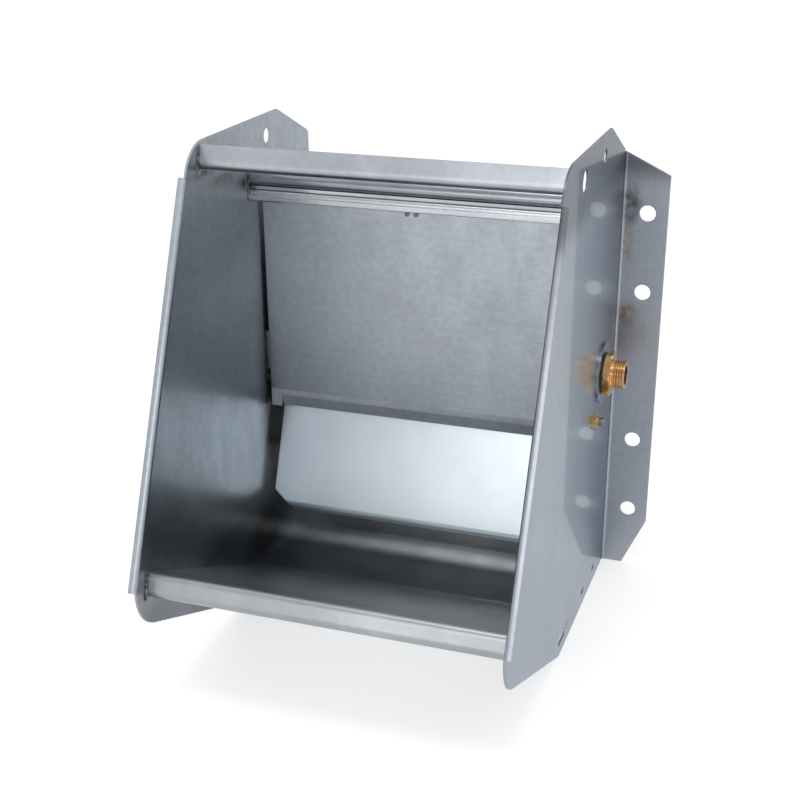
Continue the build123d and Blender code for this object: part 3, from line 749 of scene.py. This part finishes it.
@dataclass
class Pusher:
    """Push plate with its hinge and the lever to the valve."""

    face: SheetSteel = SheetSteel(
        "plate_sheet", (0.47, 0.52, 0.555), 0.30, Along.X, clouding=0.05, grain=0.006, smear=0.012
    )
    steel: TurnedMetal = TurnedMetal("lever_steel", (0.50, 0.51, 0.53), (0.36, 0.37, 0.39), 0.30)
    brass: TurnedMetal = TurnedMetal("hinge_brass", (0.74, 0.54, 0.27), (0.48, 0.32, 0.15), 0.20)
    rod: TurnedMetal = TurnedMetal("hinge_rod_steel", (0.34, 0.35, 0.37), (0.20, 0.21, 0.22), 0.25)
    bush: Moulded = Moulded("bush_plastic", (0.60, 0.58, 0.52), 0.5)

    def dress(self) -> None:
        """Finish the plate, its hinge and the lever."""
        steel = self.steel.material()
        for node, finish in (
            ("push_plate", self.face.material()),
            ("plate_hinge_sleeve", steel),
            ("valve_lever", steel),
            ("lever_screw", steel),
            ("lever_locknut", steel),
            ("plate_hinge_rod", self.rod.material()),
            ("hinge_nuts", self.brass.material()),
            ("hinge_bushes", self.bush.material()),
        ):
            dress(node, finish)


@dataclass
class Valve:
    """Water inlet and the valve behind the cover."""

    brass: TurnedMetal = TurnedMetal("valve_brass", (0.82, 0.53, 0.25), (0.58, 0.32, 0.14), 0.17)
    washer: TurnedMetal = TurnedMetal("washer_steel", (0.30, 0.33, 0.37), (0.22, 0.24, 0.27), 0.28)
    rubber: Moulded = Moulded("seal_rubber", (0.018, 0.018, 0.018), 0.62)
    plastic: Moulded = Moulded("strainer_plastic", (0.045, 0.05, 0.06), 0.45)
    wire: TurnedMetal = TurnedMetal("spring_wire", (0.42, 0.43, 0.45), (0.30, 0.31, 0.33), 0.22)
    stem_travel: float = 0.005

    def spring(self) -> None:
        """Stand a copy of the spring in for the rigid one."""
        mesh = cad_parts["valve_spring"].data.copy()
        spring = bpy.data.objects.new("spring_in_use", mesh)
        bpy.context.scene.collection.objects.link(spring)
        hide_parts("valve_spring")
        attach(spring, "bowl")
        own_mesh(spring)
        LOG.info("spring")

    def dress(self) -> None:
        """Finish the inlet and the valve."""
        brass = self.brass.material()
        rubber = self.rubber.material()
        plastic = self.plastic.material()
        for node, finish in (
            ("valve_body", brass),
            ("inlet_backnut", brass),
            ("inlet_washer", self.washer.material()),
            ("inlet_outer_seal", rubber),
            ("inlet_gasket", rubber),
            ("inlet_strainer", plastic),
            ("valve_seat_ring", brass),
            ("stem_guide", brass),
            ("valve_stem", brass),
            ("valve_seal", rubber),
            ("valve_spring", self.wire.material()),
            ("valve_cap", brass),
            ("cap_seal", rubber),
            ("outlet_nozzle", plastic),
        ):
            dress(node, finish)
        self.spring()


@dataclass(frozen=True)
class Lamp:
    """One soft lamp, aimed at the middle of the object."""

    name: str
    place: Point
    size: tuple[float, float]
    power: float
    aim: Point = (0.0, 0.0, 0.18)


@dataclass
class Studio:
    """Floor, background, lamps and camera."""

    eye: Point = (0.2921, -0.8196, 0.5319)
    azimuth: float = 19.11
    elevation: float = 23.68
    roll: float = -0.31
    lens: float = 60.77
    shift: tuple[float, float] = (-0.006, 0.054)
    ambient: float = 0.55
    floor_size: float = 12.0
    floor_drop: float = 0.0005
    floor_colour: Colour = (0.90, 0.90, 0.90)
    floor_shade: float = 0.985
    floor_cells: float = 3.0
    floor_roughness: float = 0.8
    floor_glow: float = 0.5
    lamps: tuple[Lamp, ...] = (
        Lamp("overhead", (0.0, -0.5, 1.9), (0.9, 0.5), 6.0),
        Lamp("key", (-0.10, -1.62, 0.78), (0.42, 0.45), 2.2),
        Lamp("front_right", (0.65, -1.60, 0.74), (0.40, 0.40), 1.5),
        Lamp("low_front", (-0.25, -1.6, 0.20), (0.5, 0.25), 1.4),
    )

    def camera(self) -> None:
        """Make the camera."""
        a, e, k = (math.radians(x) for x in (self.azimuth, self.elevation, self.roll))
        back = Vector((math.sin(a) * math.cos(e), -math.cos(a) * math.cos(e), math.sin(e)))
        right = (-back).cross(Vector((0, 0, 1))).normalized()
        up = right.cross(-back)
        across = math.cos(k) * right + math.sin(k) * up
        above = math.cos(k) * up - math.sin(k) * right
        data = bpy.data.cameras.new("studio_camera")
        data.lens = self.lens
        data.sensor_width = 36.0
        data.shift_x, data.shift_y = self.shift
        data.clip_start, data.clip_end = 0.01, 100.0
        camera = bpy.data.objects.new("studio_camera", data)
        turn = Matrix((across, above, back)).transposed().to_4x4()
        camera.matrix_world = Matrix.Translation(self.eye) @ turn
        bpy.context.scene.collection.objects.link(camera)
        bpy.context.scene.camera = camera

    def floor(self) -> None:
        """Make the pale floor."""
        half = self.floor_size / 2
        mesh = bpy.data.meshes.new("floor")
        corners = [(-half, -half, 0), (half, -half, 0), (half, half, 0), (-half, half, 0)]
        mesh.from_pydata(corners, [], [(0, 1, 2, 3)])
        floor = bpy.data.objects.new("floor", mesh)
        floor.location.z = -self.floor_drop
        bpy.context.scene.collection.objects.link(floor)
        graph = Graph("floor_paint")
        cloud = graph.noise((self.floor_cells,) * 3, detail=2.0)
        shade = tuple(c * self.floor_shade for c in self.floor_colour)
        graph.join(graph.blend(cloud, shade, self.floor_colour), graph.shader.inputs["Base Color"])
        graph.set(Roughness=self.floor_roughness)
        glow = graph.add("ShaderNodeEmission")
        glow.inputs["Strength"].default_value = self.floor_glow
        lifted = graph.add("ShaderNodeAddShader")
        graph.join(graph.shader.outputs[0], lifted.inputs[0])
        graph.join(glow.outputs[0], lifted.inputs[1])
        path = graph.add("ShaderNodeLightPath")
        seen = graph.math("MAXIMUM", path.outputs["Is Camera Ray"], path.outputs["Is Glossy Ray"])
        seen = graph.math("MAXIMUM", seen, path.outputs["Is Transmission Ray"])
        mix = graph.add("ShaderNodeMixShader")
        graph.join(seen, mix.inputs[0])
        graph.join(graph.shader.outputs[0], mix.inputs[1])
        graph.join(lifted.outputs[0], mix.inputs[2])
        graph.join(mix.outputs[0], graph.tree.nodes["Material Output"].inputs["Surface"])
        mesh.materials.append(graph.material)

    def background(self) -> None:
        """Make the surroundings: white to the camera and in reflections, dimmer as light."""
        world = bpy.data.worlds.new("studio")
        bpy.context.scene.world = world
        world.use_nodes = True
        tree = world.node_tree
        shown = tree.nodes["Background"]
        lit = tree.nodes.new("ShaderNodeBackground")
        for ground, strength in ((shown, 1.0), (lit, self.ambient)):
            ground.inputs["Color"].default_value = (1.0, 1.0, 1.0, 1.0)
            ground.inputs["Strength"].default_value = strength
        path = tree.nodes.new("ShaderNodeLightPath")
        seen = path.outputs["Is Camera Ray"]
        for ray in ("Is Glossy Ray", "Is Transmission Ray"):
            either = tree.nodes.new("ShaderNodeMath")
            either.operation = "MAXIMUM"
            tree.links.new(seen, either.inputs[0])
            tree.links.new(path.outputs[ray], either.inputs[1])
            seen = either.outputs[0]
        mix = tree.nodes.new("ShaderNodeMixShader")
        tree.links.new(seen, mix.inputs[0])
        tree.links.new(lit.outputs[0], mix.inputs[1])
        tree.links.new(shown.outputs[0], mix.inputs[2])
        tree.links.new(mix.outputs[0], tree.nodes["World Output"].inputs["Surface"])

    def hang(self, lamp: Lamp) -> None:
        """Make one lamp."""
        data = bpy.data.lights.new(lamp.name, "AREA")
        data.shape = "RECTANGLE"
        data.size, data.size_y = lamp.size
        data.energy = lamp.power
        light = bpy.data.objects.new(lamp.name, data)
        light.location = lamp.place
        light.rotation_mode = "QUATERNION"
        light.rotation_quaternion = (Vector(lamp.aim) - Vector(lamp.place)).to_track_quat("-Z", "Y")
        bpy.context.scene.collection.objects.link(light)

    def dress(self) -> None:
        """Make the whole studio."""
        self.camera()
        self.floor()
        self.background()
        for lamp in self.lamps:
            self.hang(lamp)
        bpy.context.scene.view_settings.view_transform = "Standard"


def main() -> None:
    """Build everything in order."""
    for part in (Studio(), Shell(), Welds(), HangingCover(), Pusher(), Valve()):
        part.dress()
        LOG.info("%s done", type(part).__name__)


if __name__ == "__main__":
    logging.basicConfig(level=logging.INFO, format="%(message)s")
    main()
